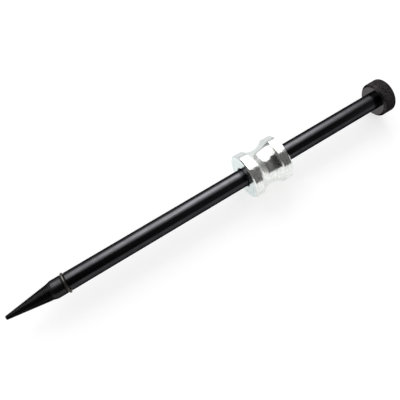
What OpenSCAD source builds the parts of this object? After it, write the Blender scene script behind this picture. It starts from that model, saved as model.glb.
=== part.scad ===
// Slide hammer puller, lying on its side as on a bench.
// A round rod carries a tapered screw point at its low X end and a knurled knob at its high X
// end. A waisted weight slides between a wire stop ring behind the point and the knob.
// The origin is under the middle of the tool's length, level with the underside of the weight.

/* [Screw point] */
// Length of the threaded cone
cone_l = 28.8; // [20:0.2:40]
// Diameter of the cone's blunt end
cone_end_d = 2.8; // [2:0.1:4]
// Rise of the steep shoulder between the thread and the shank
shoulder_step = 0.55; // [0.3:0.05:1.2]
// Length of the steep shoulder
shoulder_l = 1.9; // [1:0.1:4]
// Length of the plain shank behind the shoulder
shank_l = 6.4; // [3:0.1:12]
// Pitch of the tapered thread
thread_pitch = 1; // [0.8:0.1:2]
// Height of the tapered thread
thread_h = 0.25; // [0.15:0.05:0.5]
// Diameter of the stud that screws into the rod
stud_d = 6; // [4:0.5:7]
// Length of the stud
stud_l = 10; // [6:1:20]

/* [Rod] */
// Diameter of the bar
rod_d = 12; // [11:0.5:16]
// Length from the screw point's shank to the knob
rod_l = 237.5; // [200:0.1:320]
// Width of the turned neck that carries the stop ring
neck_l = 2.8; // [1.9:0.1:4]
// Diameter of the spigot inside the knob
spigot_d = 8; // [6:0.5:9]
// Extra depth of the tapped hole past the end of the stud
hole_spare = 2; // [1:0.5:5]
// Diameter of the lathe centre mark in the rod's end
centre_d = 2.5; // [1.5:0.5:4]

/* [Stop ring] */
// Diameter of the ring's wire
ring_wire_d = 1.7; // [1:0.1:1.8]
// Height of the ring above the bar
ring_proud = 0.8; // [0.5:0.1:1.2]
// Angle of the gap between the ring's ends
ring_gap_angle = 36; // [20:1:60]

/* [Weight] */
// Length of the weight
weight_l = 28.6; // [24:0.2:60]
// Diameter of its two flanges
weight_d = 31; // [28:0.5:40]
// Diameter at the middle of its waist
waist_d = 24.6; // [20:0.2:26]
// Width of each flange
flange_l = 6.1; // [4:0.1:8]
// Chamfer on the outer edge of each end face
weight_chamfer = 0.8; // [0.4:0.1:1.5]
// Chamfer at each mouth of the bore
mouth_chamfer = 0.6; // [0.3:0.1:1]
// Play of the weight's bore round the bar, on the radius
slide_clear = 0.25; // [0.15:0.05:0.5]
// Distance from the screw point's shank to the weight as it lies at rest
weight_rest = 129.7; // [10:0.1:150]

/* [Knob] */
// Diameter over the knurled rim
knob_d = 24; // [20:0.5:30]
// Thickness of the knob
knob_l = 9.4; // [6:0.1:14]
// Chamfer on the edge that faces the weight
knob_near_chamfer = 1.6; // [0.6:0.1:2]
// Chamfer on the edge of the end face
knob_far_chamfer = 0.2; // [0.2:0.1:1]
// Number of grooves in the straight knurl
knurl_count = 72; // [48:1:84]
// Depth of the knurl's grooves
knurl_depth = 0.35; // [0.2:0.05:0.4]

/* [Hidden] */

// Play of the ring and of the threaded joints, on the radius
fit_clear = 0.05;
// Small break on turned edges
edge_break = 0.2;
// How far a cutter runs past the surface that it cuts
overrun = 1;
// Half angle of a drill's point and of a lathe centre
drill_half_angle = 59;
centre_half_angle = 30;
$fn = 96;

// Steps along one turn of the tapered thread, and sides round the cone
thread_steps = 6;
thread_sides = 16;
// Parts of one pitch that are flat at the root and at the crest
root_share = 0.15;
crest_share = 0.2;

rod_r = rod_d / 2;
tip_l = cone_l + shoulder_l + shank_l;
total_l = tip_l + rod_l + knob_l;
axis_h = weight_d / 2;
cone_base_r = rod_r - shoulder_step;
ring_r = rod_r + ring_proud - ring_wire_d / 2;
neck_r = ring_r - ring_wire_d / 2 - fit_clear;
stud_hole_r = stud_d / 2 + fit_clear;
spigot_bore_r = spigot_d / 2 + fit_clear;
weight_bore_r = rod_r + slide_clear;

// Carries what is drawn along +Z onto the tool's axis, at a distance from the blunt end.
module on_axis(along)
    translate([along - total_l / 2, 0, axis_h])
        rotate([0, 90, 0])
            children();

// Height of the thread over its root at a place in one pitch, from 0 at the root to 1 at the crest.
function thread_wave(turns) =
    let (rise = 1 - abs(2 * (turns - floor(turns)) - 1))
    min(1, max(0, (rise - root_share) / (1 - root_share - crest_share)));

// Radius of the threaded cone at a height and an angle. The thread fades out over its last pitch.
function thread_r(z, angle) =
    let (crest_r = cone_end_d / 2 + (cone_base_r - cone_end_d / 2) * z / cone_l)
    let (depth = thread_h * min(1, (cone_l - z) / thread_pitch))
    crest_r - depth * (1 - thread_wave(z / thread_pitch - angle / 360));

// Cone with a right-hand tapered thread, blunt end at z = 0. The rings of points climb in even
// steps, and each end is closed by a fan round a middle point.
module threaded_cone() {
    rows = ceil(cone_l / thread_pitch * thread_steps);
    sides = thread_sides;
    points = [
        for (row = [0 : rows], side = [0 : sides - 1])
            let (z = cone_l * row / rows, angle = 360 * side / sides, r = thread_r(z, angle))
            [r * cos(angle), r * sin(angle), z],
        [0, 0, 0],
        [0, 0, cone_l]
    ];
    low_mid = (rows + 1) * sides;
    high_mid = low_mid + 1;
    last = rows * sides;
    walls = [
        for (row = [0 : rows - 1], side = [0 : sides - 1])
            let (a = row * sides + side, b = row * sides + (side + 1) % sides)
            for (face = [[a, a + sides, b], [b, a + sides, b + sides]])
                face
    ];
    caps = [
        for (side = [0 : sides - 1], low = [true, false])
            let (next = (side + 1) % sides)
            low ? [low_mid, side, next] : [high_mid, last + next, last + side]
    ];
    polyhedron(points, concat(walls, caps));
}

// Tapered screw point: threaded cone, shoulder, shank and the stud that holds it in the rod.
module screw_tip() {
    stud_r = stud_d / 2;
    color("#1b1b1e")
        on_axis(0) {
            threaded_cone();
            translate([0, 0, cone_l])
                rotate_extrude()
                    polygon([
                        [0, 0],
                        [cone_base_r, 0],
                        [rod_r, shoulder_l],
                        [rod_r, shoulder_l + shank_l],
                        [stud_r, shoulder_l + shank_l],
                        [stud_r, shoulder_l + shank_l + stud_l - edge_break],
                        [stud_r - edge_break, shoulder_l + shank_l + stud_l],
                        [0, shoulder_l + shank_l + stud_l]
                    ]);
        }
}

// Bar with a tapped hole and the ring's neck at one end, and the knob's spigot at the other.
module rod() {
    spigot_r = spigot_d / 2;
    centre_r = centre_d / 2;
    hole_l = stud_l + hole_spare;
    end = rod_l + knob_l;
    color("#202023")
        on_axis(tip_l)
            rotate_extrude()
                polygon([
                    [stud_hole_r, 0],
                    [neck_r, 0],
                    [neck_r, neck_l],
                    [rod_r - edge_break, neck_l],
                    [rod_r, neck_l + edge_break],
                    [rod_r, rod_l],
                    [spigot_r, rod_l],
                    [spigot_r, end - edge_break],
                    [spigot_r - edge_break, end],
                    [centre_r, end],
                    [0, end - centre_r / tan(centre_half_angle)],
                    [0, hole_l + stud_hole_r / tan(drill_half_angle)],
                    [stud_hole_r, hole_l]
                ]);
}

// Open ring of round wire, clipped round the neck, with its gap underneath.
module stop_ring() {
    color("#4a4743")
        on_axis(tip_l + neck_l / 2)
            rotate([0, 0, ring_gap_angle / 2])
                rotate_extrude(angle = 360 - ring_gap_angle)
                    translate([ring_r, 0])
                        circle(d = ring_wire_d);
}

// Turned weight: two flanges, a hollow waist on one arc, and a bore with chamfered mouths.
module slide_weight() {
    weight_r = weight_d / 2;
    half_span = weight_l / 2 - flange_l;
    sag = (weight_d - waist_d) / 2;
    hollow_r = (half_span * half_span + sag * sag) / (2 * sag);
    color("#d5d8da")
        on_axis(tip_l + weight_rest)
            rotate_extrude()
                difference() {
                    polygon([
                        [weight_bore_r, mouth_chamfer],
                        [weight_bore_r + mouth_chamfer, 0],
                        [weight_r - weight_chamfer, 0],
                        [weight_r, weight_chamfer],
                        [weight_r, weight_l - weight_chamfer],
                        [weight_r - weight_chamfer, weight_l],
                        [weight_bore_r + mouth_chamfer, weight_l],
                        [weight_bore_r, weight_l - mouth_chamfer]
                    ]);
                    translate([waist_d / 2 + hollow_r, weight_l / 2])
                        circle(r = hollow_r);
                }
}

// Outline of the knurled rim: a round disc with a V groove for each line of the knurl.
module knurl_outline() {
    difference() {
        circle(d = knob_d);
        for (groove = [0 : knurl_count - 1])
            rotate(360 * groove / knurl_count)
                translate([knob_d / 2 - knurl_depth, 0])
                    polygon([
                        [0, 0],
                        [knurl_depth + overrun, knurl_depth + overrun],
                        [knurl_depth + overrun, -knurl_depth - overrun]
                    ]);
    }
}

// Knurled disc that the weight strikes, bored for the rod's spigot.
module knob() {
    knob_r = knob_d / 2;
    color("#26262a")
        on_axis(tip_l + rod_l)
            intersection() {
                linear_extrude(height = knob_l)
                    knurl_outline();
                rotate_extrude()
                    polygon([
                        [spigot_bore_r, 0],
                        [knob_r - knob_near_chamfer, 0],
                        [knob_r, knob_near_chamfer],
                        [knob_r, knob_l - knob_far_chamfer],
                        [knob_r - knob_far_chamfer, knob_l],
                        [spigot_bore_r, knob_l]
                    ]);
            }
}

rod();
screw_tip();
stop_ring();
slide_weight();
knob();
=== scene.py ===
"""Dresses the slide hammer puller: a blackened rod with a threaded screw point, a wire stop ring,
a bright zinc-plated sliding weight and a straight-knurled knob, on a pale studio floor.

Every mesh is in metres and in the same frame as the solids: +X runs from the screw point to the
knob, and the tool's axis lies level over the floor.
"""

import logging
import math
from dataclasses import dataclass, field, replace
from enum import Enum
from typing import Callable, Iterable, Sequence

import bpy
from mathutils import Matrix, Vector


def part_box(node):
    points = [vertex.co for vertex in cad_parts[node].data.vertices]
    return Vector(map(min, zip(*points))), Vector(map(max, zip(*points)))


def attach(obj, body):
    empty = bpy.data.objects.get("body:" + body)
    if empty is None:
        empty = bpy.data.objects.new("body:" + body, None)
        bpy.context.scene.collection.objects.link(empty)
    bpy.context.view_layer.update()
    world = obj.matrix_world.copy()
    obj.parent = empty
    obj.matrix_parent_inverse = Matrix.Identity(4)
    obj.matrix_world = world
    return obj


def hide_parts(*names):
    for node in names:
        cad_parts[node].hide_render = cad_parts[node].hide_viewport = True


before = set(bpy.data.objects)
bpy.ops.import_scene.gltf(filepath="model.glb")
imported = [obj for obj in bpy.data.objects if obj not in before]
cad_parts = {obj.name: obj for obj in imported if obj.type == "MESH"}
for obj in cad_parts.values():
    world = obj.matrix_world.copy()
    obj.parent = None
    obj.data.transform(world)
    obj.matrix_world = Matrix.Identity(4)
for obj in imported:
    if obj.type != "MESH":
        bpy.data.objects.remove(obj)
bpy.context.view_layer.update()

MM = 0.001
UP = Vector((0.0, 0.0, 1.0))
ALONG = Vector((1.0, 0.0, 0.0))
WEAR_LAYER = "wear"
# Mask of the end faces and of the rings whose second colour is painted shade
FACE_AND_SHADE_LAYER = "face"

# Share of the shorter neighbour that a fillet may take up
FILLET_ROOM = 0.45
# Turn below which a corner of an outline counts as straight, in radians
STRAIGHT_TURN = 1e-4
# Radius below which a ring of points is one point on the axis
POLE_R = 1e-9
# Part of the normal along the axis above which a ring lies on an end face
END_FACE_TILT = 0.95
# Difference between two lengths that are meant to be the same
ROUNDING_ERROR = 1e-6

log = logging.getLogger("slide_hammer")

Colour = tuple[float, float, float]
Place = tuple[float, float, float]
Node = bpy.types.Node
Socket = bpy.types.NodeSocket
Value = float | Colour | Socket


class Effect(Enum):
    """Surface effects that several finishes share, each built once as a node group."""

    TURNED_MARKS = "turned_marks"
    HANDLING = "handling"
    EDGE_WEAR = "edge_wear"
    LONG_SCRATCHES = "long_scratches"


class Form(Enum):
    """What a ring of points lies on: a plainly turned surface, or a thread or knurl cut into one."""

    TURNED = "turned"
    SHAPED = "shaped"


@dataclass(frozen=True)
class Knot:
    """One corner of a turned outline.

    Attributes:
        x: Place along the tool's axis.
        r: Radius.
        rounding: Radius of the fillet that breaks the corner.
        worn: How much the finish is rubbed on this corner, from 0 to 1.
        cut: Whether the finish's second colour and gloss lie here. On the black oxide that colour is
            near black and paints shade in the groove under the stop ring and on the screw point's
            thread.
    """

    x: float
    r: float
    rounding: float = 0.05 * MM
    worn: float = 0.0
    cut: bool = False


@dataclass(frozen=True)
class Station:
    """One ring of points on a turned piece.

    Attributes:
        x: Place along the tool's axis.
        r: Radius.
        nx: Part of the surface normal along the axis.
        nr: Part of the surface normal away from the axis.
        worn: How much the finish is rubbed here, from 0 to 1.
        form: What the ring lies on. Its normal holds where it is plainly turned, and otherwise
            follows the mesh.
        cut: Whether the finish's second colour and gloss lie here, as they do on end faces. On the
            black oxide that colour is near black and paints shade in the groove under the stop ring
            and on the screw point's thread.
    """

    x: float
    r: float
    nx: float
    nr: float
    worn: float = 0.0
    form: Form = Form.TURNED
    cut: bool = False


def fillet(before: Knot, knot: Knot, after: Knot, steps: int = 4) -> list[Station]:
    """Round one corner of an outline.

    Args:
        before: The corner that comes before this one.
        knot: The corner to round.
        after: The corner that comes after it.
        steps: Number of steps along the arc.

    Returns:
        The stations from the end of the first straight to the start of the next.
    """
    here = Vector((knot.x, knot.r))
    into = here - Vector((before.x, before.r))
    out = Vector((after.x, after.r)) - here
    room = FILLET_ROOM * min(into.length, out.length)
    into.normalize()
    out.normalize()
    turn = math.atan2(into.x * out.y - into.y * out.x, into.dot(out))
    first = Vector((-into.y, into.x))
    if abs(turn) < STRAIGHT_TURN:
        return [Station(knot.x, knot.r, first.x, first.y, knot.worn, cut=knot.cut)]
    reach = min(room, knot.rounding * math.tan(abs(turn) / 2))
    radius = reach / math.tan(abs(turn) / 2)
    start = here - into * reach
    side = math.copysign(1.0, turn)
    middle = start + first * radius * side
    stations = []
    for step in range(steps + 1):
        angle = turn * step / steps
        normal = Matrix.Rotation(angle, 2) @ first
        place = middle - normal * radius * side
        share = math.sin(math.pi * step / steps)
        worn = knot.worn * share
        stations.append(Station(place.x, place.y, normal.x, normal.y, worn, cut=knot.cut))
    return stations


def rounded(knots: Sequence[Knot]) -> list[Station]:
    """Round the corners of an outline, apart from the first and the last."""
    corners = zip(knots, knots[1:], knots[2:])
    return [station for corner in corners for station in fillet(*corner)]


def closed_outline(knots: Sequence[Knot]) -> list[Station]:
    """Turn the corners of a closed outline, as on a bored piece, into stations."""
    return rounded([knots[-1], *knots, knots[0]])


def open_outline(knots: Sequence[Knot]) -> list[Station]:
    """Turn the corners of an outline that starts and ends on the axis into stations.

    Args:
        knots: The corners in order, from the axis out and back to it.

    Returns:
        The stations, with one on the axis at each end.
    """
    first, last = knots[0], knots[-1]
    lead = Vector((knots[1].x - first.x, knots[1].r - first.r)).normalized()
    tail = Vector((last.x - knots[-2].x, last.r - knots[-2].r)).normalized()
    return [
        Station(first.x, 0.0, -lead.y, lead.x),
        *rounded(knots),
        Station(last.x, 0.0, -tail.y, tail.x),
    ]


Shape = Callable[[Station, float], float]


@dataclass
class Lathe:
    """Makes a mesh by carrying an outline round the tool's axis.

    Attributes:
        axis_h: Height of the axis over the floor.
        sides: Number of columns round the axis.
        closed: Whether the last ring joins the first, as on a bored piece.
        shape: Radius of a station at an angle, where it isn't the same all round.
        crest: How much the finish is rubbed at a station and an angle.
    """

    axis_h: float
    sides: int = 160
    closed: bool = False
    shape: Shape | None = None
    crest: Shape | None = None

    def point(self, station: Station, angle: float) -> Vector:
        """Give the place on the piece of a station at an angle from straight down."""
        radius = self.shape(station, angle) if self.shape else station.r
        return Vector((station.x, radius * math.sin(angle), self.axis_h - radius * math.cos(angle)))

    def build(self, name: str, stations: Sequence[Station]) -> bpy.types.Object:
        """Make the mesh and its normals.

        Args:
            name: Name of the new object.
            stations: Rings of the outline, in order.

        Returns:
            The new object, in the scene.
        """
        angles = [2 * math.pi * side / self.sides for side in range(self.sides)]
        points: list[Vector] = []
        normals: list[Vector | None] = []
        worn: list[float] = []
        flat: list[float] = []
        rings: list[list[int]] = []
        for station in stations:
            pole = station.r < POLE_R
            ring = []
            for angle in angles[:1] if pole else angles:
                ring.append(len(points))
                points.append(self.point(station, angle))
                across, up = math.sin(angle), -math.cos(angle)
                turned = Vector((station.nx, station.nr * across, station.nr * up))
                normals.append(turned if station.form is Form.TURNED else None)
                worn.append(self.crest(station, angle) if self.crest else station.worn)
                flat.append(1.0 if station.cut or abs(station.nx) > END_FACE_TILT else 0.0)
            rings.append(ring * self.sides if pole else ring)
        faces = []
        last = len(rings) if self.closed else len(rings) - 1
        for row in range(last):
            low, high = rings[row], rings[(row + 1) % len(rings)]
            for side in range(self.sides):
                after = (side + 1) % self.sides
                face = [low[side], low[after], high[after], high[side]]
                faces.append(list(dict.fromkeys(face)))
        return build_mesh(name, points, faces, normals, {WEAR_LAYER: worn, FACE_AND_SHADE_LAYER: flat})


def build_mesh(
    name: str,
    points: Sequence[Vector],
    faces: Sequence[Sequence[int]],
    normals: Sequence[Vector | None],
    layers: dict[str, Sequence[float]],
) -> bpy.types.Object:
    """Make a smooth mesh object from points and faces.

    Args:
        name: Name of the new object.
        points: Its points.
        faces: Its faces, wound so that they face outwards.
        normals: A normal for each point, or None where the shape decides.
        layers: Named values for each point, which the finishes read.

    Returns:
        The new object, in the scene.
    """
    mesh = bpy.data.meshes.new(name)
    mesh.from_pydata([tuple(point) for point in points], [], [tuple(face) for face in faces])
    mesh.validate(clean_customdata=False)
    mesh.polygons.foreach_set("use_smooth", [True] * len(mesh.polygons))
    mesh.update()
    found = [vertex.normal.copy() for vertex in mesh.vertices]
    chosen = [tuple(given if given is not None else seen) for given, seen in zip(normals, found)]
    mesh.normals_split_custom_set_from_vertices(chosen)
    for label, values in layers.items():
        mesh.attributes.new(label, "FLOAT", "POINT").data.foreach_set("value", list(values))
    piece = bpy.data.objects.new(name, mesh)
    bpy.context.scene.collection.objects.link(piece)
    return piece


class Graph:
    """Adds and joins nodes in one node tree."""

    def __init__(self, tree: bpy.types.NodeTree) -> None:
        """Keep the tree that the nodes go into."""
        self.tree = tree

    def node(
        self, kind: str, inputs: dict[str | int, Value] | None = None, **settings: object
    ) -> Node:
        """Add a node.

        Args:
            kind: The node's type.
            inputs: Sockets to set, each to a value or to the socket that feeds it.
            **settings: The node's own settings.

        Returns:
            The new node.
        """
        made = self.tree.nodes.new(kind)
        for label, value in settings.items():
            setattr(made, label, value)
        for label, value in (inputs or {}).items():
            self.feed(made.inputs[label], value)
        return made

    def feed(self, socket: Socket, value: Value) -> None:
        """Set a socket to a value, or join it to the socket that feeds it.

        Args:
            socket: The socket to set.
            value: Its value, or the socket that feeds it.
        """
        if isinstance(value, Socket):
            self.tree.links.new(value, socket)
        elif isinstance(value, tuple) and socket.type == "RGBA":
            socket.default_value = (*value, 1.0)
        else:
            socket.default_value = value

    def math(self, operation: str, first: Value, second: Value = 0.0, third: Value = 0.0) -> Socket:
        """Add a Math node.

        Args:
            operation: What the node works out.
            first: Its first number.
            second: Its second number, where it takes two.
            third: Its third number, where it takes three.

        Returns:
            The node's result.
        """
        made = self.node("ShaderNodeMath", operation=operation)
        for socket, value in zip(made.inputs, (first, second, third)):
            self.feed(socket, value)
        return made.outputs[0]

    def spread(
        self,
        value: Value,
        low: float = 0.0,
        high: float = 1.0,
        to_low: float = 0.0,
        to_high: float = 1.0,
    ) -> Socket:
        """Map a value smoothly from one span to another.

        Args:
            value: The value to map.
            low: Where the first span starts.
            high: Where it ends.
            to_low: Result at the first span's start, and below it.
            to_high: Result at the first span's end, and above it.

        Returns:
            The mapped value.
        """
        inputs = {
            "Value": value, "From Min": low, "From Max": high, "To Min": to_low, "To Max": to_high,
        }
        made = self.node("ShaderNodeMapRange", inputs, interpolation_type="SMOOTHSTEP")
        return made.outputs["Result"]

    def blend(self, share: Value, first: Value, second: Value) -> Socket:
        """Mix two colours.

        Args:
            share: Part of the second colour, from 0 to 1.
            first: The first colour.
            second: The second colour.

        Returns:
            The mixed colour.
        """
        # The node has sockets A and B for each type of data, so they are told apart by number
        inputs = {0: share, 6: first, 7: second}
        made = self.node("ShaderNodeMix", inputs, data_type="RGBA", clamp_factor=True)
        return made.outputs[2]

    def between(self, share: Value, first: Value, second: Value) -> Socket:
        """Mix two numbers, with the second one's part from 0 to 1."""
        inputs = {0: share, 2: first, 3: second}
        return self.node("ShaderNodeMix", inputs, data_type="FLOAT").outputs[0]

    def noise(self, at: Socket, scale: Value, detail: float = 2.0, warp: float = 0.0) -> Socket:
        """Add a noise texture, with its fineness in waves per metre."""
        inputs = {"Vector": at, "Scale": scale, "Detail": detail, "Distortion": warp}
        return self.node("ShaderNodeTexNoise", inputs).outputs[0]

    def stripes(self, at: Socket, detail: float) -> Socket:
        """Add a noise that changes along one number only, with waves about 1 long."""
        inputs = {"W": at, "Scale": 1.0, "Detail": detail}
        return self.node("ShaderNodeTexNoise", inputs, noise_dimensions="1D").outputs[0]

    def place(self) -> Socket:
        """Return the place on the piece, which moves with the piece."""
        return self.node("ShaderNodeTexCoord").outputs["Object"]

    def stretched(self, at: Socket, scale: Place) -> Socket:
        """Scale a place by a different amount along each direction."""
        return self.node("ShaderNodeVectorMath", {0: at, 1: scale}, operation="MULTIPLY").outputs[0]

    def layer(self, name: str) -> Socket:
        """Return a value that the mesh carries for each point."""
        return self.node("ShaderNodeAttribute", attribute_name=name).outputs["Fac"]


def new_material(name: str) -> tuple[bpy.types.Material, Graph, Socket]:
    """Make a material that has only its output node.

    Args:
        name: Name of the material.

    Returns:
        The material, its nodes and the socket that its surface feeds.
    """
    made = bpy.data.materials.new(name)
    made.use_nodes = True
    made.node_tree.nodes.clear()
    graph = Graph(made.node_tree)
    return made, graph, graph.node("ShaderNodeOutputMaterial").inputs["Surface"]


@dataclass
class EffectLibrary:
    """Builds each shared effect once, as a node group.

    Attributes:
        axis_h: Height of the tool's axis over the floor, about which turned marks run.
        coarse_share: How often the marks change in tone, for each change in height.
        waves_per_m: Waves per metre of the uneven surface under the marks.
        specks_per_size: Specks across one patch of the film.
        streaks_per_m: Fineness of the scratches along the bar and across it.
        patches_per_m: Fineness of the patches that the scratches keep to.
        built: The node groups that are there already.
    """

    axis_h: float
    coarse_share: float = 0.13
    waves_per_m: float = 500.0
    specks_per_size: float = 14.0
    streaks_per_m: Place = (22.0, 2600.0, 2600.0)
    patches_per_m: Place = (30.0, 90.0, 90.0)
    built: dict[Effect, bpy.types.NodeTree] = field(default_factory=dict)

    def group(self, effect: Effect) -> bpy.types.NodeTree:
        """Return the node group of an effect, and build it where it isn't there yet.

        Args:
            effect: The effect.

        Returns:
            Its node group.
        """
        if effect not in self.built:
            maker = {
                Effect.TURNED_MARKS: self.turned_marks,
                Effect.HANDLING: self.handling,
                Effect.EDGE_WEAR: self.edge_wear,
                Effect.LONG_SCRATCHES: self.long_scratches,
            }[effect]
            self.built[effect] = maker()
        return self.built[effect]

    def use(self, graph: Graph, effect: Effect, **values: float) -> Node:
        """Place an effect in a material.

        Args:
            graph: The material's nodes.
            effect: The effect to place.
            **values: The group's inputs by name, in small letters.

        Returns:
            The group node.
        """
        made = graph.node("ShaderNodeGroup", node_tree=self.group(effect))
        for label, value in values.items():
            made.inputs[label.capitalize()].default_value = value
        return made

    def start(
        self, effect: Effect, inputs: dict[str, float], outputs: Iterable[str]
    ) -> tuple[Graph, Node, Node]:
        """Make an empty node group with its sockets.

        Args:
            effect: The effect that the group makes.
            inputs: Each input's name and default value.
            outputs: Each output's name.

        Returns:
            The group's nodes, its input node and its output node.
        """
        tree = bpy.data.node_groups.new(effect.value, "ShaderNodeTree")
        kind = "NodeSocketFloat"
        for label, value in inputs.items():
            socket = tree.interface.new_socket(name=label, in_out="INPUT", socket_type=kind)
            socket.default_value = value
        for label in outputs:
            tree.interface.new_socket(name=label, in_out="OUTPUT", socket_type=kind)
        graph = Graph(tree)
        return graph, graph.node("NodeGroupInput"), graph.node("NodeGroupOutput")

    def turned_marks(self) -> bpy.types.NodeTree:
        """Build fine tool marks that run round the axis, on cylinders and on end faces.

        Returns:
            The node group. It also puts out the distance from the axis.
        """
        graph, given, result = self.start(
            Effect.TURNED_MARKS, {"Pitch": 0.2 * MM, "Unevenness": 0.3}, ("Height", "Tone", "Radius"))
        parts = graph.node("ShaderNodeSeparateXYZ", {0: graph.place()}).outputs
        height = graph.math("SUBTRACT", parts[2], self.axis_h)
        across = graph.math("MULTIPLY", parts[1], parts[1])
        radius = graph.math("SQRT", graph.math("MULTIPLY_ADD", height, height, across))
        along = graph.math("DIVIDE", graph.math("ADD", parts[0], radius), given.outputs["Pitch"])
        fine = graph.stripes(along, detail=2.0)
        coarse = graph.stripes(graph.math("MULTIPLY", along, self.coarse_share), detail=1.0)
        waves = graph.noise(graph.place(), scale=self.waves_per_m, detail=3.0)
        uneven = graph.math("MULTIPLY", waves, given.outputs["Unevenness"])
        graph.feed(result.inputs["Height"], graph.math("ADD", fine, uneven))
        graph.feed(result.inputs["Tone"], graph.spread(coarse, low=0.35, high=0.65))
        graph.feed(result.inputs["Radius"], radius)
        return graph.tree

    def handling(self) -> bpy.types.NodeTree:
        """Build the faint film and finger marks that handling leaves.

        Returns:
            The node group.
        """
        graph, given, result = self.start(Effect.HANDLING, {"Size": 6 * MM}, ("Film", "Speckle"))
        scale = graph.math("DIVIDE", 1.0, given.outputs["Size"])
        broad = graph.noise(graph.place(), scale, detail=3.0, warp=0.6)
        finer = graph.math("MULTIPLY", scale, self.specks_per_size)
        fine = graph.noise(graph.place(), finer, detail=3.0)
        graph.feed(result.inputs["Film"], graph.spread(broad, low=0.38, high=0.66))
        graph.feed(result.inputs["Speckle"], graph.spread(fine, low=0.35, high=0.7))
        return graph.tree

    def edge_wear(self) -> bpy.types.NodeTree:
        """Build the rubbed strip on exposed corners, broken up by noise.

        Returns:
            The node group.
        """
        graph, given, result = self.start(
            Effect.EDGE_WEAR, {"Amount": 0.5, "Grain": 1.2 * MM}, ("Mask",))
        scale = graph.math("DIVIDE", 1.0, given.outputs["Grain"])
        chips = graph.noise(graph.place(), scale, detail=4.0)
        broken = graph.spread(chips, low=0.25, high=0.7, to_low=0.35)
        level = graph.math("MULTIPLY", graph.layer(WEAR_LAYER), broken)
        graph.feed(result.inputs["Mask"], graph.math("MULTIPLY", level, given.outputs["Amount"]))
        return graph.tree

    def long_scratches(self) -> bpy.types.NodeTree:
        """Build the thin marks that the sliding weight rubs along the bar.

        Returns:
            The node group.
        """
        graph, given, result = self.start(Effect.LONG_SCRATCHES, {"Amount": 0.5}, ("Mask",))
        streaks = graph.noise(graph.stretched(graph.place(), self.streaks_per_m), scale=1.0)
        broad = graph.stretched(graph.place(), self.patches_per_m)
        patches = graph.noise(broad, scale=1.0, detail=1.0)
        lines = graph.spread(streaks, low=0.64, high=0.74)
        thin = graph.math("MULTIPLY", lines, graph.spread(patches, low=0.42, high=0.6))
        graph.feed(result.inputs["Mask"], graph.math("MULTIPLY", thin, given.outputs["Amount"]))
        return graph.tree


@dataclass(frozen=True)
class Finish:
    """What the tool's metal finishes have in common.

    Attributes:
        name: Name of the material.
        colour: Colour of the clean metal or oxide.
        edge_tint: Tint at a grazing view, which keeps a dark oxide from lighting up at its rim.
        roughness: Roughness of the clean surface.
        mark_pitch: Spacing of the tool marks.
        mark_depth: Height of the tool marks.
        unevenness: Height of the broad waves under the marks, as a multiple of the marks' own.
    """

    name: str
    colour: Colour
    edge_tint: Colour
    roughness: float
    mark_pitch: float
    mark_depth: float
    unevenness: float = 0.3

    def material(self, effects: EffectLibrary) -> bpy.types.Material:
        """Build the material.

        Args:
            effects: The shared effects.

        Returns:
            The new material.
        """
        made, graph, surface = new_material(self.name)
        inputs = {"Metallic": 1.0, "Specular Tint": self.edge_tint}
        shader = graph.node("ShaderNodeBsdfPrincipled", inputs)
        graph.feed(surface, shader.outputs[0])
        marks = effects.use(
            graph, Effect.TURNED_MARKS, pitch=self.mark_pitch, unevenness=self.unevenness)
        relief = {"Height": marks.outputs["Height"], "Strength": 1.0, "Distance": self.mark_depth}
        graph.feed(shader.inputs["Normal"], graph.node("ShaderNodeBump", relief).outputs[0])
        self.colour_and_gloss(graph, effects, shader, marks)
        made.diffuse_color = (*self.colour, 1.0)
        return made

    def colour_and_gloss(
        self, graph: Graph, effects: EffectLibrary, shader: Node, marks: Node
    ) -> None:
        """Feed the shader's colour and roughness."""
        raise NotImplementedError(f"{self.name} has no colour")


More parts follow.
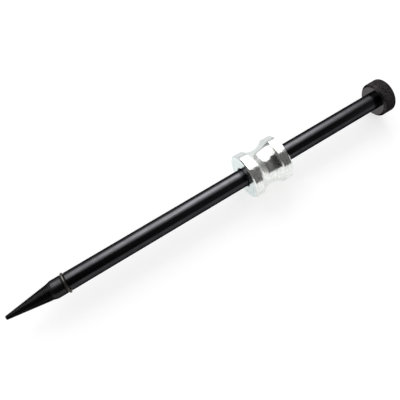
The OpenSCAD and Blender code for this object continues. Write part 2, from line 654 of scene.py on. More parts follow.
@dataclass(frozen=True)
class BlackOxide(Finish):
    """Black oxide over steel: near black, with a film of oil and pale steel where it is rubbed.

    Attributes:
        bare: Colour of the steel where the oxide is rubbed through.
        film_size: Size of the patches of oily film.
        fleck_size: Size of the patches that the specks in the oxide keep to.
        film_share: Brightness of the oxide under the oil's film, against the clean oxide's.
        film_gloss: Roughness under the film, against the clean oxide's.
        fleck_gloss: Roughness that the specks add.
        face_and_shade_colour: Colour of the end faces, also used as painted shade in the groove under
            the stop ring and on the screw point's thread.
        face_roughness: Roughness there.
        wear: How far the corners are rubbed.
        scratches: How much the bar is scratched along its length.
        patina: Colour of the specks in the oxide.
        patina_share: How strong the specks are.
    """

    bare: Colour = (0.26, 0.25, 0.25)
    film_size: float = 7 * MM
    fleck_size: float = 20 * MM
    film_share: float = 0.82
    film_gloss: float = 1.25
    fleck_gloss: float = 0.03
    face_and_shade_colour: Colour = (0.06, 0.06, 0.062)
    face_roughness: float = 0.2
    wear: float = 0.4
    scratches: float = 0.0
    patina: Colour = (0.066, 0.053, 0.055)
    patina_share: float = 0.0

    def colour_and_gloss(
        self, graph: Graph, effects: EffectLibrary, shader: Node, marks: Node
    ) -> None:
        """Feed the shader's colour and roughness.

        Args:
            graph: The material's nodes.
            effects: The shared effects.
            shader: The material's shader.
            marks: The tool marks, already placed.
        """
        hand = effects.use(graph, Effect.HANDLING, size=self.film_size)
        mottle = effects.use(graph, Effect.HANDLING, size=self.fleck_size)
        # End faces and rings marked cut take the second colour, which on the bar and the screw point
        # is painted shade.
        face = graph.layer(FACE_AND_SHADE_LAYER)
        darker = tuple(self.film_share * part for part in self.colour)
        side_colour = graph.blend(hand.outputs["Film"], self.colour, darker)
        specks = graph.math("MULTIPLY", mottle.outputs["Speckle"], self.patina_share)
        side_colour = graph.blend(specks, side_colour, self.patina)
        clean = graph.blend(face, side_colour, self.face_and_shade_colour)
        worn = effects.use(graph, Effect.EDGE_WEAR, amount=self.wear).outputs["Mask"]
        if self.scratches:
            lines = effects.use(graph, Effect.LONG_SCRATCHES, amount=self.scratches)
            worn = graph.math("MAXIMUM", worn, lines.outputs["Mask"])
        graph.feed(shader.inputs["Base Color"], graph.blend(worn, clean, self.bare))
        filmed = self.roughness * self.film_gloss
        gloss = graph.spread(hand.outputs["Film"], to_low=self.roughness, to_high=filmed)
        fleck = graph.math("MULTIPLY", hand.outputs["Speckle"], self.fleck_gloss)
        side = graph.math("ADD", gloss, fleck)
        ends = graph.math("ADD", self.face_roughness, fleck)
        graph.feed(shader.inputs["Roughness"], graph.between(face, side, ends))


@dataclass(frozen=True)
class DrawnWire(Finish):
    """Drawn spring wire: dull grey with a brown film of oil.

    Attributes:
        film: Colour of the oily film.
        film_size: Size of its patches.
        speck_gloss: Roughness that the specks add.
    """

    film: Colour = (0.06, 0.055, 0.046)
    film_size: float = 3 * MM
    speck_gloss: float = 0.12

    def colour_and_gloss(
        self, graph: Graph, effects: EffectLibrary, shader: Node, marks: Node
    ) -> None:
        """Feed the shader's colour and roughness.

        Args:
            graph: The material's nodes.
            effects: The shared effects.
            shader: The material's shader.
            marks: The tool marks, already placed.
        """
        hand = effects.use(graph, Effect.HANDLING, size=self.film_size)
        tinted = graph.blend(hand.outputs["Film"], self.colour, self.film)
        graph.feed(shader.inputs["Base Color"], tinted)
        rough = self.roughness + self.speck_gloss
        gloss = graph.spread(hand.outputs["Speckle"], to_low=self.roughness, to_high=rough)
        graph.feed(shader.inputs["Roughness"], gloss)


@dataclass(frozen=True)
class ZincPlate(Finish):
    """Bright zinc plating with a clear passivated film, painted darker and cool towards +Y and
    lighter and creamy on the other side, as painted shade and sheen.

    Attributes:
        cool_shade_tint: Cool tint towards +Y, dark enough to be painted shade on that side.
        cream_sheen_tint: Creamy tint towards the other side, light enough to be a painted sheen.
        face_tint: Tint of the film on the end faces.
        side_shade_start: Place across the tool where the painted shade of the cool side starts.
        side_shade_end: Place across the tool where it is full.
        film_size: Size of the patches that handling leaves.
        fleck_size: Size of the patches that the duller specks keep to.
        haze: Part of the light that the plating scatters.
        grey: Colour of the duller specks in the plating.
        grey_share: How strong the specks are.
        clean_share: How far the clean zinc's colour shows through the film.
        mark: Colour of the coarser tool marks.
        mark_share: How strong they are.
        film_gloss: Roughness that handling adds.
        fleck_gloss: Roughness that the specks add.
        mouth_shade: Near-black colour round the bore's mouths, painted shade in the gap round the
            bar.
        mouth_shade_r: Distance from the axis that the painted shade reaches.
        mouth_shade_fade: Width over which it fades.
        mouth_shade_cover: How far it covers the plating.
    """

    cool_shade_tint: Colour = (0.6, 0.64, 0.63)
    cream_sheen_tint: Colour = (0.94, 0.95, 0.91)
    face_tint: Colour = (0.84, 0.95, 0.94)
    side_shade_start: float = 1 * MM
    side_shade_end: float = 10 * MM
    film_size: float = 5 * MM
    fleck_size: float = 20 * MM
    haze: float = 0.035
    grey: Colour = (0.48, 0.47, 0.45)
    grey_share: float = 0.4
    clean_share: float = 0.35
    mark: Colour = (0.6, 0.62, 0.62)
    mark_share: float = 0.25
    film_gloss: float = 0.05
    fleck_gloss: float = 0.04
    mouth_shade: Colour = (0.012, 0.012, 0.011)
    mouth_shade_r: float = 6.8 * MM
    mouth_shade_fade: float = 0.35 * MM
    mouth_shade_cover: float = 0.95

    def colour_and_gloss(
        self, graph: Graph, effects: EffectLibrary, shader: Node, marks: Node
    ) -> None:
        """Feed the shader's colour, roughness and metal share.

        Args:
            graph: The material's nodes.
            effects: The shared effects.
            shader: The material's shader.
            marks: The tool marks, already placed.
        """
        hand = effects.use(graph, Effect.HANDLING, size=self.film_size)
        mottle = effects.use(graph, Effect.HANDLING, size=self.fleck_size)
        # Painted shade and sheen: the plating's colour goes from a light cream on the -Y side to a
        # darker, cooler tint towards +Y.
        across = graph.node("ShaderNodeSeparateXYZ", {0: graph.place()}).outputs[1]
        side = graph.spread(across, self.side_shade_start, self.side_shade_end)
        film = graph.blend(side, self.cream_sheen_tint, self.cool_shade_tint)
        film = graph.blend(graph.layer(FACE_AND_SHADE_LAYER), film, self.face_tint)
        specks = graph.math("MULTIPLY", mottle.outputs["Speckle"], self.grey_share)
        film = graph.blend(specks, film, self.grey)
        bare = graph.math("MULTIPLY", hand.outputs["Film"], self.clean_share)
        plated = graph.blend(bare, film, self.colour)
        toned = graph.math("MULTIPLY", marks.outputs["Tone"], self.mark_share)
        plated = graph.blend(toned, plated, self.mark)
        # Painted shade: the bore's mouths turn near black, as if in shadow round the bar.
        reach = self.mouth_shade_r + self.mouth_shade_fade
        mouth_shaded = graph.spread(
            marks.outputs["Radius"], self.mouth_shade_r, reach, to_low=self.mouth_shade_cover, to_high=0.0)
        graph.feed(shader.inputs["Base Color"], graph.blend(mouth_shaded, plated, self.mouth_shade))
        filmed = self.roughness + self.film_gloss
        gloss = graph.spread(hand.outputs["Film"], to_low=self.roughness, to_high=filmed)
        fleck = graph.math("MULTIPLY", hand.outputs["Speckle"], self.fleck_gloss)
        graph.feed(shader.inputs["Roughness"], graph.math("ADD", gloss, fleck))
        shader.inputs["Metallic"].default_value = 1 - self.haze


@dataclass
class Piece:
    """What the tool's pieces have in common.

    Attributes:
        node: Name of the solid that the piece stands for.
        body: Name of the body that it rides on.
        finish: Its finish.
        axis_h: Height of the tool's axis over the floor.
        low: Low corner of the solid's box.
        high: High corner of the solid's box.
    """

    node: str
    body: str
    finish: Finish
    axis_h: float
    low: Vector = field(init=False)
    high: Vector = field(init=False)

    def __post_init__(self) -> None:
        """Read the solid's corners, from which the piece takes its place and main sizes."""
        self.low, self.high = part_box(self.node)

    @property
    def outer_r(self) -> float:
        """Largest radius that stays inside the solid's box."""
        return min((self.high.y - self.low.y) / 2, self.high.z - self.axis_h)

    def mesh(self) -> bpy.types.Object:
        """Build the piece's mesh."""
        raise NotImplementedError(f"{self.node} has no mesh")

    def dress(self, effects: EffectLibrary) -> bpy.types.Object:
        """Build the piece, give it its finish and put it in the solid's place.

        Args:
            effects: The shared effects.

        Returns:
            The finished piece.
        """
        piece = self.mesh()
        piece.data.materials.append(self.finish.material(effects))
        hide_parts(self.node)
        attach(piece, self.body)
        return piece


@dataclass
class Rod(Piece):
    """The bar: a tapped hole and the ring's neck at one end, the knob's spigot at the other.

    Attributes:
        knob_l: Length of the knob on the spigot.
        neck_l: Width of the neck under the stop ring.
        neck_r: Radius of the neck.
        hole_r: Radius of the tapped hole.
        hole_l: Depth of the hole's straight part.
        spigot_r: Radius of the spigot.
        centre_r: Radius of the lathe centre mark in the end.
        drill_angle: Half angle of the drill's point at the bottom of the hole, in degrees.
        centre_angle: Half angle of the centre mark, in degrees.
        edge: Break on the turned edges.
        sides: Columns of points round the axis.
    """

    knob_l: float = 9.4 * MM
    neck_l: float = 2.8 * MM
    neck_r: float = 5.05 * MM
    hole_r: float = 3.05 * MM
    hole_l: float = 12 * MM
    spigot_r: float = 4 * MM
    centre_r: float = 1.25 * MM
    drill_angle: float = 59.0
    centre_angle: float = 30.0
    edge: float = 0.2 * MM
    sides: int = 128

    def mesh(self) -> bpy.types.Object:
        """Build the bar.

        Returns:
            The bar.
        """
        start, end = self.low.x, self.high.x
        shoulder = end - self.knob_l
        drill_l = self.hole_r / math.tan(math.radians(self.drill_angle))
        centre_l = self.centre_r / math.tan(math.radians(self.centre_angle))
        knots = [
            Knot(start + self.hole_l + drill_l, 0.0),
            Knot(start + self.hole_l, self.hole_r),
            Knot(start, self.hole_r),
            # The neck under the stop ring takes the near-black second colour: painted shade in the
            # groove beside the ring.
            Knot(start, self.neck_r, cut=True),
            Knot(start + self.neck_l, self.neck_r, self.edge, cut=True),
            Knot(start + self.neck_l, self.outer_r, self.edge, worn=1.0),
            Knot(shoulder, self.outer_r, self.edge / 2),
            Knot(shoulder, self.spigot_r, self.edge / 2),
            Knot(end, self.spigot_r, self.edge, worn=1.0),
            Knot(end, self.centre_r, self.edge / 2),
            Knot(end - centre_l, 0.0),
        ]
        return Lathe(self.axis_h, self.sides).build("bar", open_outline(knots))


@dataclass
class ScrewTip(Piece):
    """The tapered screw point: threaded cone, steep shoulder, plain shank and stud.

    Attributes:
        cone_l: Length of the threaded cone.
        blunt_r: Radius of the cone's blunt end.
        base_r: Radius of the cone where the shoulder starts.
        shoulder_l: Length of the shoulder.
        shank_l: Length of the plain shank.
        stud_r: Radius of the stud.
        pitch: Pitch of the thread.
        thread_h: Height of the thread.
        root_share: Part of one pitch that is flat at the root.
        crest_share: Part of one pitch that is flat at the crest.
        soften: How far the thread's corners are eased, from 0 to 1.
        rubbed_from: Height of the thread above which the finish is rubbed.
        rows_per_pitch: Rings of points along one pitch.
        edge: Break on the turned edges.
        sides: Columns of points round the axis.
    """

    cone_l: float = 28.8 * MM
    blunt_r: float = 1.4 * MM
    base_r: float = 5.45 * MM
    shoulder_l: float = 1.9 * MM
    shank_l: float = 6.4 * MM
    stud_r: float = 3 * MM
    pitch: float = 1.0 * MM
    thread_h: float = 0.25 * MM
    root_share: float = 0.15
    crest_share: float = 0.2
    soften: float = 0.5
    rubbed_from: float = 0.75
    rows_per_pitch: int = 14
    edge: float = 0.2 * MM
    sides: int = 96

    def turns(self, station: Station, angle: float) -> float:
        """Give how many pitches along the thread a station is at an angle."""
        return (station.x - self.low.x) / self.pitch - angle / (2 * math.pi)

    def wave(self, turns: float) -> float:
        """Give the thread's height over its root at a place in one pitch.

        Args:
            turns: The place along the thread, in pitches.

        Returns:
            The height, from 0 at the root to 1 at the crest.
        """
        rise = 1 - abs(2 * (turns - math.floor(turns)) - 1)
        straight = (rise - self.root_share) / (1 - self.root_share - self.crest_share)
        straight = min(1.0, max(0.0, straight))
        eased = straight * straight * (3 - 2 * straight)
        return eased * self.soften + straight * (1 - self.soften)

    def threaded(self, station: Station, angle: float) -> float:
        """Give the radius with the thread cut into the cone.

        Args:
            station: The ring of points.
            angle: The angle round the axis.

        Returns:
            The radius there.
        """
        if station.form is Form.TURNED:
            return station.r
        fade = min(1.0, (self.low.x + self.cone_l - station.x) / self.pitch)
        return station.r - self.thread_h * fade * (1 - self.wave(self.turns(station, angle)))

    def rubbed(self, station: Station, angle: float) -> float:
        """Give how far the finish is rubbed: along the thread's crest, and on turned edges.

        Args:
            station: The ring of points.
            angle: The angle round the axis.

        Returns:
            How far it is rubbed, from 0 to 1.
        """
        if station.form is Form.TURNED:
            return station.worn
        above = self.wave(self.turns(station, angle)) - self.rubbed_from
        return max(0.0, above) / (1 - self.rubbed_from)

    def cone(self) -> list[Station]:
        """Give the rings of points along the threaded cone.

        Returns:
            The stations, from the blunt end to just short of the shoulder.
        """
        slope = (self.base_r - self.blunt_r) / self.cone_l
        tilt = Vector((-slope, 1.0)).normalized()
        rows = math.ceil(self.cone_l / self.pitch * self.rows_per_pitch)
        stations = []
        for row in range(rows):
            along = self.cone_l * row / rows
            x, r = self.low.x + along, self.blunt_r + slope * along
            # The thread takes the near-black second colour: a duller blackening, and also painted
            # shade for the weaker light on the cone.
            stations.append(Station(x, r, tilt.x, tilt.y, form=Form.SHAPED, cut=True))
        return stations

    def mesh(self) -> bpy.types.Object:
        """Build the screw point.

        Returns:
            The screw point.
        """
        start, end = self.low.x, self.high.x
        base = start + self.cone_l
        shank = base + self.shoulder_l
        face = shank + self.shank_l
        knots = [
            Knot(start, self.blunt_r),
            Knot(base, self.base_r, self.edge),
            Knot(shank, self.outer_r, self.edge, worn=0.6),
            Knot(face, self.outer_r, self.edge / 2, worn=1.0),
            Knot(face, self.stud_r, self.edge / 2),
            Knot(end, self.stud_r, self.edge, worn=0.6),
            Knot(end, 0.0),
        ]
        stations = [
            Station(start, 0.0, -1.0, 0.0),
            *self.cone(),
            *rounded(knots),
            Station(end, 0.0, 1.0, 0.0),
        ]
        lathe = Lathe(self.axis_h, self.sides, shape=self.threaded, crest=self.rubbed)
        return lathe.build("screw_point", stations)


@dataclass
class StopRing(Piece):
    """The open ring of round wire, with its gap underneath.

    Attributes:
        wire_r: Radius of the wire.
        gap: Angle of the gap between the wire's ends.
        steps: Rings of points along the wire.
        wire_sides: Points round the wire.
        end_round: Radius that rounds the cut ends.
    """

    wire_r: float = 0.85 * MM
    gap: float = math.radians(36)
    steps: int = 120
    wire_sides: int = 20
    end_round: float = 0.15 * MM

    def sections(self) -> list[tuple[float, float]]:
        """Give the angle round the axis and the radius of each section of the wire.

        Returns:
            The sections from one cut end to the other, the first and last of them smaller.
        """
        inset = self.end_round / (self.outer_r - self.wire_r)
        first, last = self.gap / 2, 2 * math.pi - self.gap / 2
        length = last - first - 2 * inset
        full = [
            (first + inset + length * step / self.steps, self.wire_r)
            for step in range(self.steps + 1)
        ]
        cut_r = self.wire_r - self.end_round
        return [(first, cut_r), *full, (last, cut_r)]

    def mesh(self) -> bpy.types.Object:
        """Build the ring as a bent wire with rounded ends.

        Returns:
            The ring.
        """
        sides = self.wire_sides
        heart = Vector(((self.low.x + self.high.x) / 2, 0.0, self.axis_h))
        bend = self.outer_r - self.wire_r
        sections = self.sections()
        points: list[Vector] = []
        for angle, radius in sections:
            out = Vector((0.0, math.sin(angle), -math.cos(angle)))
            for side in range(sides):
                turn = 2 * math.pi * side / sides
                along = Vector((radius * math.sin(turn), 0.0, 0.0))
                points.append(heart + out * (bend + radius * math.cos(turn)) + along)
        faces: list[list[int]] = [list(range(sides))]
        for row in range(len(sections) - 1):
            low, high = row * sides, (row + 1) * sides
            for side in range(sides):
                after = (side + 1) % sides
                faces.append([low + side, high + side, high + after, low + after])
        last_row = (len(sections) - 1) * sides
        faces.append([last_row + side for side in reversed(range(sides))])
        blank = [0.0] * len(points)
        layers = {WEAR_LAYER: blank, FACE_AND_SHADE_LAYER: blank}
        return build_mesh("wire_ring", points, faces, [None] * len(points), layers)


@dataclass
class SlideWeight(Piece):
    """The turned weight: two flanges, a hollow waist on one arc, and a bore with chamfered mouths.

    Attributes:
        waist_r: Radius at the middle of the waist.
        flange_l: Width of each flange.
        chamfer: Chamfer on the outer edge of each end face.
        bore_r: Radius of the bore.
        mouth: Chamfer at each mouth of the bore.
        edge: Break on the corners of the mouths, and on the flanges' inner corners.
        rim: Break on the corners of the outer chamfers.
        waist_rows: Rings of points along the waist.
        sides: Columns of points round the axis.
    """

    waist_r: float = 12.3 * MM
    flange_l: float = 6.1 * MM
    chamfer: float = 0.8 * MM
    bore_r: float = 6.25 * MM
    mouth: float = 0.6 * MM
    edge: float = 0.1 * MM
    rim: float = 0.15 * MM
    waist_rows: int = 36
    sides: int = 192

    def waist(self) -> list[Station]:
        """Give the rings of points along the hollow waist.

        Returns:
            The stations, from one flange to just short of the other.
        """
        half = (self.high.x - self.low.x) / 2 - self.flange_l
        middle = (self.high.x + self.low.x) / 2
        sag = self.outer_r - self.waist_r
        radius = (half * half + sag * sag) / (2 * sag)
        reach = math.asin(half / radius) - self.edge / radius
        stations = []
        for row in range(self.waist_rows + 1):
            turn = reach * (2 * row / self.waist_rows - 1)
            nx, nr = -math.sin(turn), math.cos(turn)
            r = self.waist_r + radius - radius * nr
            stations.append(Station(middle - radius * nx, r, nx, nr))
        return stations

    def mesh(self) -> bpy.types.Object:
        """Build the weight.

        Returns:
            The weight.
        """
        start, end, outer = self.low.x, self.high.x, self.outer_r
        hollow = self.waist()
        left = [
            Knot(start + self.mouth, self.bore_r, self.edge),
            Knot(start, self.bore_r + self.mouth, self.edge, worn=0.6),
            Knot(start, outer - self.chamfer, self.rim, worn=0.8),
            Knot(start + self.chamfer, outer, self.rim, worn=1.0),
            Knot(start + self.flange_l, outer, self.edge, worn=1.0),
        ]
        right = [
            Knot(start + end - knot.x, knot.r, knot.rounding, knot.worn) for knot in reversed(left)
        ]
        into = Knot(hollow[0].x, hollow[0].r)
        out_of = Knot(hollow[-1].x, hollow[-1].r)
        stations = [
            *rounded([right[-1], *left, into]),
            *hollow,
            *rounded([out_of, *right, left[0]]),
        ]
        return Lathe(self.axis_h, self.sides, closed=True).build("sliding_weight", stations)


@dataclass
class Knob(Piece):
    """The knurled disc that the weight strikes.

    Attributes:
        bore_r: Radius of the bore that takes the bar's spigot.
        near_chamfer: Chamfer on the edge that faces the weight.
        far_chamfer: Chamfer on the edge of the end face.
        grooves: Number of grooves in the straight knurl.
        groove_depth: Depth of the grooves.
        crest_share: Part of the grooves' depth over which the crests are rubbed.
        run_out: How far under the grooves a ring lies that keeps the faces flat.
        slope_l: Shortest stretch along the axis that counts as a chamfer.
        rim_l: Shortest stretch that counts as the rim.
        slope_rows: Rows of faces along a chamfer.
        rim_rows: Rows of faces along the rim.
        wear: How much the finish is rubbed on the knurl's crests.
        edge: Break on the turned edges.
        columns: Columns of points for each groove.
        set_back: Gap to the weight's end face when the weight is thrown back against the knob.
    """

    bore_r: float = 4.05 * MM
    near_chamfer: float = 1.6 * MM
    far_chamfer: float = 0.2 * MM
    grooves: int = 72
    groove_depth: float = 0.35 * MM
    crest_share: float = 0.3
    run_out: float = 0.05 * MM
    slope_l: float = 0.2 * MM
    rim_l: float = 2 * MM
    slope_rows: int = 4
    rim_rows: int = 6
    wear: float = 0.35
    edge: float = 0.12 * MM
    columns: int = 10
    set_back: float = 0.02 * MM

    @property
    def root_r(self) -> float:
        """Radius at the bottom of the grooves."""
        return self.outer_r - self.groove_depth

    def depth(self, angle: float) -> float:
        """Give the depth of the knurl at an angle.

        Args:
            angle: The angle round the axis, from straight down.

        Returns:
            How far the surface lies under the rim there.
        """
        pitch = 2 * math.pi * self.outer_r / self.grooves
        off = abs((angle * self.grooves / (2 * math.pi) + 0.5) % 1 - 0.5) * pitch
        return max(0.0, self.groove_depth - off)

    def knurled(self, station: Station, angle: float) -> float:
        """Give the radius at a station and an angle."""
        return min(station.r, self.outer_r - self.depth(angle))

    def rubbed(self, station: Station, angle: float) -> float:
        """Give how far the finish is rubbed: on the knurl's crests, and on turned edges."""
        crest = 1.0 - min(1.0, self.depth(angle) / (self.crest_share * self.groove_depth))
        return station.worn * crest

    def mesh(self) -> bpy.types.Object:
        """Build the knob.

        Returns:
            The knob.
        """
        start, end, outer = self.low.x + self.set_back, self.high.x, self.outer_r
        knots = [
            Knot(start, self.bore_r, self.edge / 2),
            Knot(start, outer - self.near_chamfer, self.edge, worn=0.9),
            Knot(start + self.near_chamfer, outer, self.edge, worn=1.0),
            Knot(end - self.far_chamfer, outer, self.edge, worn=1.0),
            Knot(end, outer - self.far_chamfer, self.edge, worn=0.9),
            Knot(end, self.bore_r, self.edge / 2),
        ]
        stations = []
        for station in closed_outline(knots):
            grooved = station.r > self.root_r - ROUNDING_ERROR
            stations.append(replace(station, form=Form.SHAPED if grooved else Form.TURNED))
        sides = self.grooves * self.columns
        lathe = Lathe(self.axis_h, sides, closed=True, shape=self.knurled, crest=self.rubbed)
        return lathe.build("knurled_knob", self.with_support(stations))

    def with_support(self, stations: Sequence[Station]) -> list[Station]:
        """Add rings where the knurl runs out, on a chamfer or a face, and along the rim.

        Args:
            stations: The knob's closed outline.

        Returns:
            The outline with the rings added.
        """
        flat_r = self.root_r - self.run_out
        done: list[Station] = []
        for station, after in zip(stations, [*stations[1:], stations[0]]):
            done.append(station)
            low, high = sorted((station.r, after.r))
            length = abs(after.x - station.x)
            chamfer = low < self.root_r < high and length > self.slope_l
            rim = low > self.root_r and length > self.rim_l
            rows = self.slope_rows if chamfer else self.rim_rows if rim else 1
            for row in range(1, rows):
                x = station.x + (after.x - station.x) * (row / rows)
                r = station.r + (after.r - station.r) * (row / rows)
                form = Form.SHAPED if r > self.root_r else Form.TURNED
                done.append(Station(x, r, station.nx, station.nr, self.wear, form))
            if low < flat_r and self.root_r < high and not chamfer:
                done.append(Station(station.x, flat_r, station.nx, station.nr))
        return done


@dataclass(frozen=True)
class PaleFloor:
    """A plain white floor that keeps the tool's shadow.

    Attributes:
        half: Half of the floor's width.
        colour: Colour of the paint.
        lift: Light added for what the camera and the metal see of it.
    """

    half: float = 4.0
    colour: Colour = (0.55, 0.55, 0.55)
    lift: float = 0.56

    def build(self) -> bpy.types.Object:
        """Build the floor and its material.

        Returns:
            The floor.
        """
        corners = [
            (-self.half, -self.half, 0.0),
            (self.half, -self.half, 0.0),
            (self.half, self.half, 0.0),
            (-self.half, self.half, 0.0),
        ]
        mesh = bpy.data.meshes.new("floor")
        mesh.from_pydata(corners, [], [(0, 1, 2, 3)])
        floor = bpy.data.objects.new("floor", mesh)
        bpy.context.scene.collection.objects.link(floor)
        paint, graph, surface = new_material("floor_paint")
        matt = graph.node("ShaderNodeBsdfDiffuse", {"Color": self.colour})
        strength = graph.math("MULTIPLY", seen_directly(graph), self.lift)
        glow = graph.node("ShaderNodeEmission", {"Strength": strength})
        both = graph.node("ShaderNodeAddShader", {0: matt.outputs[0], 1: glow.outputs[0]})
        graph.feed(surface, both.outputs[0])
        mesh.materials.append(paint)
        return floor


def seen_directly(graph: Graph) -> Socket:
    """Tell the rays of the camera, of reflections and of clear materials from the rest.

    Args:
        graph: The nodes of a material or of the world.

    Returns:
        1 for those rays, and 0 for the others.
    """
    path = graph.node("ShaderNodeLightPath").outputs
    either = graph.math("MAXIMUM", path["Is Camera Ray"], path["Is Glossy Ray"])
    return graph.math("MAXIMUM", either, path["Is Transmission Ray"])


@dataclass(frozen=True)
class Lamp:
    """The soft lamp that lights matt surfaces, placed by its angle from overhead towards +Y.

    Attributes:
        angle: Its direction from the tool, in degrees.
        distance: Distance from the tool.
        centre_x: Place along the tool.
        width: Width along the tool.
        height: Height across the tool.
        power: Power in watts.
    """

    angle: float = 50.0
    distance: float = 0.9
    centre_x: float = 0.1
    width: float = 1.0
    height: float = 0.7
    power: float = 4.2

    def build(self) -> bpy.types.Object:
        """Build the lamp, facing the tool. Metal sees the lit sheet in its place.

        Returns:
            The lamp.
        """
        angle = math.radians(self.angle)
        out = Vector((0.0, math.sin(angle), math.cos(angle)))
        lamp = bpy.data.lights.new("soft_lamp", "AREA")
        lamp.shape = "RECTANGLE"
        lamp.size = self.width
        lamp.size_y = self.height
        lamp.energy = self.power
        made = bpy.data.objects.new("soft_lamp", lamp)
        place = out * self.distance + ALONG * self.centre_x
        made.matrix_world = facing(place, out, ALONG)
        made.visible_camera = False
        made.visible_glossy = False
        bpy.context.scene.collection.objects.link(made)
        return made


@dataclass(frozen=True)
class Sheet:
    """A curved sheet hung round the tool's axis, which only reflections see.

    Attributes:
        name: Name of the sheet.
        low_angle: Angle of one edge from overhead towards +Y, in degrees.
        high_angle: Angle of the other edge, in degrees.
        low_x: Its end towards the screw point.
        high_x: Its end towards the knob.
        glow: What the sheet gives off away from its spot.
        spot_glow: What the spot adds, or takes away where it is below zero.
        spot_angle: Angle of the spot, in degrees.
        spot_x: Place of the spot along the tool.
        spot_spread: Spread of the spot round the tool, in degrees.
        spot_reach: Spread of the spot along the tool.
        radius: Distance from the tool.
        level_from: Where the stretch starts over which the low edge is level.
        level_to: Where that stretch ends.
        rise: How fast the low edge rises beyond that stretch, in degrees per metre.
        most_rise: The most that it rises, in degrees.
        strips: Number of flat strips that make the curve.
        columns: Number of parts along the tool.
    """

    name: str
    low_angle: float
    high_angle: float
    low_x: float
    high_x: float
    glow: float
    spot_glow: float = 0.0
    spot_angle: float = 0.0
    spot_x: float = 0.0
    spot_spread: float = 25.0
    spot_reach: float = 0.5
    radius: float = 1.1
    level_from: float = 0.0
    level_to: float = 0.0
    rise: float = 0.0
    most_rise: float = 13.0
    strips: int = 24
    columns: int = 16

    def strength(self, graph: Graph) -> Value:
        """Work out what the sheet gives off, with the spot where it has one.

        Args:
            graph: The material's nodes.

        Returns:
            The strength of its light.
        """
        if not self.spot_glow:
            return self.glow
        parts = graph.node("ShaderNodeSeparateXYZ", {0: graph.place()}).outputs
        angle = graph.math("ARCTAN2", parts[1], parts[2])
        turned = graph.math("SUBTRACT", angle, math.radians(self.spot_angle))
        off = graph.math("DIVIDE", turned, math.radians(self.spot_spread))
        away = graph.math("DIVIDE", graph.math("SUBTRACT", parts[0], self.spot_x), self.spot_reach)
        total = graph.math("MULTIPLY_ADD", off, off, graph.math("MULTIPLY", away, away))
        bell = graph.math("EXPONENT", graph.math("MULTIPLY", total, -1.0))
        return graph.math("MULTIPLY_ADD", bell, self.spot_glow, self.glow)

    def mesh(self) -> bpy.types.Mesh:
        """Build the curved strips.

        Returns:
            The sheet's mesh.
        """
        points = []
        for column in range(self.columns + 1):
            x = self.low_x + (self.high_x - self.low_x) * column / self.columns
            beyond = max(self.level_from - x, x - self.level_to, 0.0)
            low = self.low_angle + min(self.most_rise, self.rise * beyond)
            for strip in range(self.strips + 1):
                angle = math.radians(low + (self.high_angle - low) * strip / self.strips)
                points.append((x, self.radius * math.sin(angle), self.radius * math.cos(angle)))
        faces = []
        for column in range(self.columns):
            for strip in range(self.strips):
                here = column * (self.strips + 1) + strip
                beside = here + self.strips + 1
                faces.append((here, beside, beside + 1, here + 1))
        mesh = bpy.data.meshes.new(self.name)
        mesh.from_pydata(points, [], faces)
        return mesh

    def build(self) -> bpy.types.Object:
        """Build the sheet and its material.

        Returns:
            The sheet.
        """
        mesh = self.mesh()
        cloth, graph, surface = new_material(self.name)
        glow = graph.node("ShaderNodeEmission", {"Strength": self.strength(graph)})
        graph.feed(surface, glow.outputs[0])
        mesh.materials.append(cloth)
        made = bpy.data.objects.new(self.name, mesh)
        for ray in ("camera", "diffuse", "shadow", "transmission", "volume_scatter"):
            setattr(made, f"visible_{ray}", False)
        bpy.context.scene.collection.objects.link(made)
        return made


def facing(place: Vector, back: Vector, across: Vector) -> Matrix:
    """Give the placement of a lamp or a camera.

    Args:
        place: Where it stands.
        back: The direction behind it.
        across: The direction to its right.

    Returns:
        Its world matrix.
    """
    right = across.normalized()
    behind = back.normalized()
    up = behind.cross(right)
    turn = Matrix((right, up, behind)).transposed()
    return Matrix.Translation(place) @ turn.to_4x4()


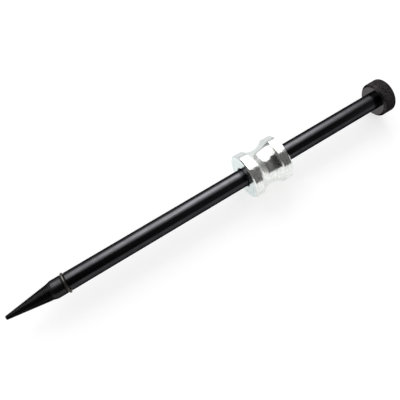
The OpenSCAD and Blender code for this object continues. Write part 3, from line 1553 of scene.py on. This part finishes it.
@dataclass(frozen=True)
class Studio:
    """The camera, the lamp, the sheets, the floor and the white surroundings.

    Attributes:
        azimuth: Direction of the view in degrees, where 0 looks along +Y.
        elevation: Height of the view in degrees.
        camera_at: The camera's place.
        lens_px: Focal length in pixels of the photograph's frame.
        frame_px: Width of the photograph's frame in pixels.
        offset_px: How far the lens's centre lies right of and below the middle of the frame.
        sensor_mm: Width of the camera's sensor in millimetres.
        near: Distance under which the camera sees nothing.
        fill: Even light from the surroundings on matt surfaces.
        sheets: What the tool's metal mirrors, beside the floor and the white surroundings.
    """

    azimuth: float = -32.36
    elevation: float = 68.98
    camera_at: Place = (-65.0 * MM, -89.3 * MM, 295.0 * MM)
    lens_px: float = 470.0
    frame_px: float = 400.0
    offset_px: float = 0.5
    sensor_mm: float = 36.0
    near: float = 10 * MM
    fill: float = 0.7
    sheets: tuple[Sheet, ...] = (
        Sheet(
            "lit_sheet", low_angle=-3.0, high_angle=73.0, low_x=-1.2, high_x=0.83, glow=1.1,
            spot_glow=10.2, spot_angle=44.0, spot_x=0.27, spot_reach=0.55,
            level_from=0.1, level_to=0.6, rise=40.0),
        Sheet(
            "dark_sheet", low_angle=-77.0, high_angle=40.0, low_x=-1.2, high_x=0.8, glow=0.01,
            spot_glow=0.14, spot_angle=-35.0, spot_x=0.3, spot_spread=90.0, spot_reach=0.4,
            radius=1.12),
        Sheet(
            "grey_sheet", low_angle=-77.0, high_angle=73.0, low_x=0.65, high_x=9.0, glow=0.62,
            spot_glow=-0.4, spot_angle=-20.0, spot_x=0.8, spot_spread=45.0, spot_reach=5.0,
            radius=1.14),
        Sheet(
            "far_sheet", low_angle=73.0, high_angle=115.0, low_x=-1.2, high_x=9.0, glow=0.55,
            spot_glow=-0.35, spot_angle=85.0, spot_x=-0.9, spot_spread=60.0, spot_reach=0.6,
            radius=1.12),
        Sheet(
            "end_sheet", low_angle=-71.0, high_angle=110.0, low_x=-6.0, high_x=-1.1, glow=0.15,
            radius=1.16),
    )

    def camera(self) -> bpy.types.Object:
        """Build the camera at the photograph's viewing angle.

        Returns:
            The camera.
        """
        turn, lift = math.radians(self.azimuth), math.radians(self.elevation)
        level = Vector((math.sin(turn), -math.cos(turn), 0.0))
        back = level * math.cos(lift) + UP * math.sin(lift)
        lens = bpy.data.cameras.new("camera")
        lens.sensor_width = self.sensor_mm
        lens.lens = self.sensor_mm * self.lens_px / self.frame_px
        lens.shift_x = -self.offset_px / self.frame_px
        lens.shift_y = self.offset_px / self.frame_px
        lens.clip_start = self.near
        lens.dof.use_dof = False
        made = bpy.data.objects.new("camera", lens)
        made.matrix_world = facing(Vector(self.camera_at), back, UP.cross(back))
        bpy.context.scene.collection.objects.link(made)
        bpy.context.scene.camera = made
        return made

    def surroundings(self) -> None:
        """Set a white background for the camera and the metal, and an even fill for the rest."""
        world = bpy.data.worlds.new("studio")
        world.use_nodes = True
        world.node_tree.nodes.clear()
        graph = Graph(world.node_tree)
        strength = graph.spread(seen_directly(graph), to_low=self.fill)
        sky = graph.node("ShaderNodeBackground", {"Color": (1.0, 1.0, 1.0), "Strength": strength})
        output = graph.node("ShaderNodeOutputWorld")
        graph.feed(output.inputs["Surface"], sky.outputs[0])
        bpy.context.scene.world = world

    def build(self) -> None:
        """Build the whole studio."""
        self.camera()
        self.surroundings()
        PaleFloor().build()
        Lamp().build()
        for sheet in self.sheets:
            sheet.build()
        bpy.context.scene.view_settings.view_transform = "Standard"


# The bar's face_and_shade_colour is near black: the colour of its end faces, and painted shade in the
# groove under the stop ring.
BAR_BLACK = BlackOxide(
    name="bar_black_oxide", colour=(0.035, 0.035, 0.038), edge_tint=(0.28, 0.28, 0.29),
    roughness=0.17, mark_pitch=0.16 * MM, mark_depth=0.002 * MM,
    face_and_shade_colour=(0.008, 0.008, 0.009), face_roughness=0.4, scratches=0.35,
    patina=(0.045, 0.044, 0.046), patina_share=0.25)
# The screw point's face_and_shade_colour is near black on the thread: a duller blackening, and partly
# painted shade on the cone.
TIP_BLACK = BlackOxide(
    name="tip_hardened_black", colour=(0.032, 0.032, 0.034), edge_tint=(0.3, 0.3, 0.3),
    roughness=0.28, mark_pitch=0.14 * MM, mark_depth=0.002 * MM,
    face_and_shade_colour=(0.007, 0.007, 0.0075), face_roughness=0.3, wear=0.06)
KNOB_BLACK = BlackOxide(
    name="knob_black_oxide", colour=(0.021, 0.02, 0.0205), edge_tint=(0.2, 0.18, 0.18),
    roughness=0.26, mark_pitch=0.12 * MM, mark_depth=0.0015 * MM,
    face_and_shade_colour=(0.12, 0.114, 0.115), face_roughness=0.14, wear=0.2, patina_share=0.5)
RING_WIRE = DrawnWire(
    name="ring_spring_wire", colour=(0.062, 0.057, 0.06), edge_tint=(0.7, 0.68, 0.6),
    roughness=0.3, mark_pitch=0.3 * MM, mark_depth=0.002 * MM)
WEIGHT_ZINC = ZincPlate(
    name="weight_bright_zinc", colour=(0.77, 0.79, 0.79), edge_tint=(0.95, 0.97, 0.97),
    roughness=0.13, mark_pitch=0.22 * MM, mark_depth=0.003 * MM, unevenness=36.0)


def main() -> None:
    """Build the studio and the tool's pieces, in order, and log each piece's face count and body."""
    logging.basicConfig(level=logging.INFO, format="%(name)s: %(message)s")
    low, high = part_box("rod")
    axis_h = (low.z + high.z) / 2
    effects = EffectLibrary(axis_h)
    Studio().build()
    pieces: list[Piece] = [
        Rod("rod", "shaft", BAR_BLACK, axis_h),
        ScrewTip("screw_tip", "shaft", TIP_BLACK, axis_h),
        StopRing("stop_ring", "shaft", RING_WIRE, axis_h),
        SlideWeight("slide_weight", "weight", WEIGHT_ZINC, axis_h),
        Knob("knob", "shaft", KNOB_BLACK, axis_h),
    ]
    for piece in pieces:
        made = piece.dress(effects)
        log.info("%s: %d faces, rides on %s", made.name, len(made.data.polygons), piece.body)


if __name__ == "__main__":
    main()
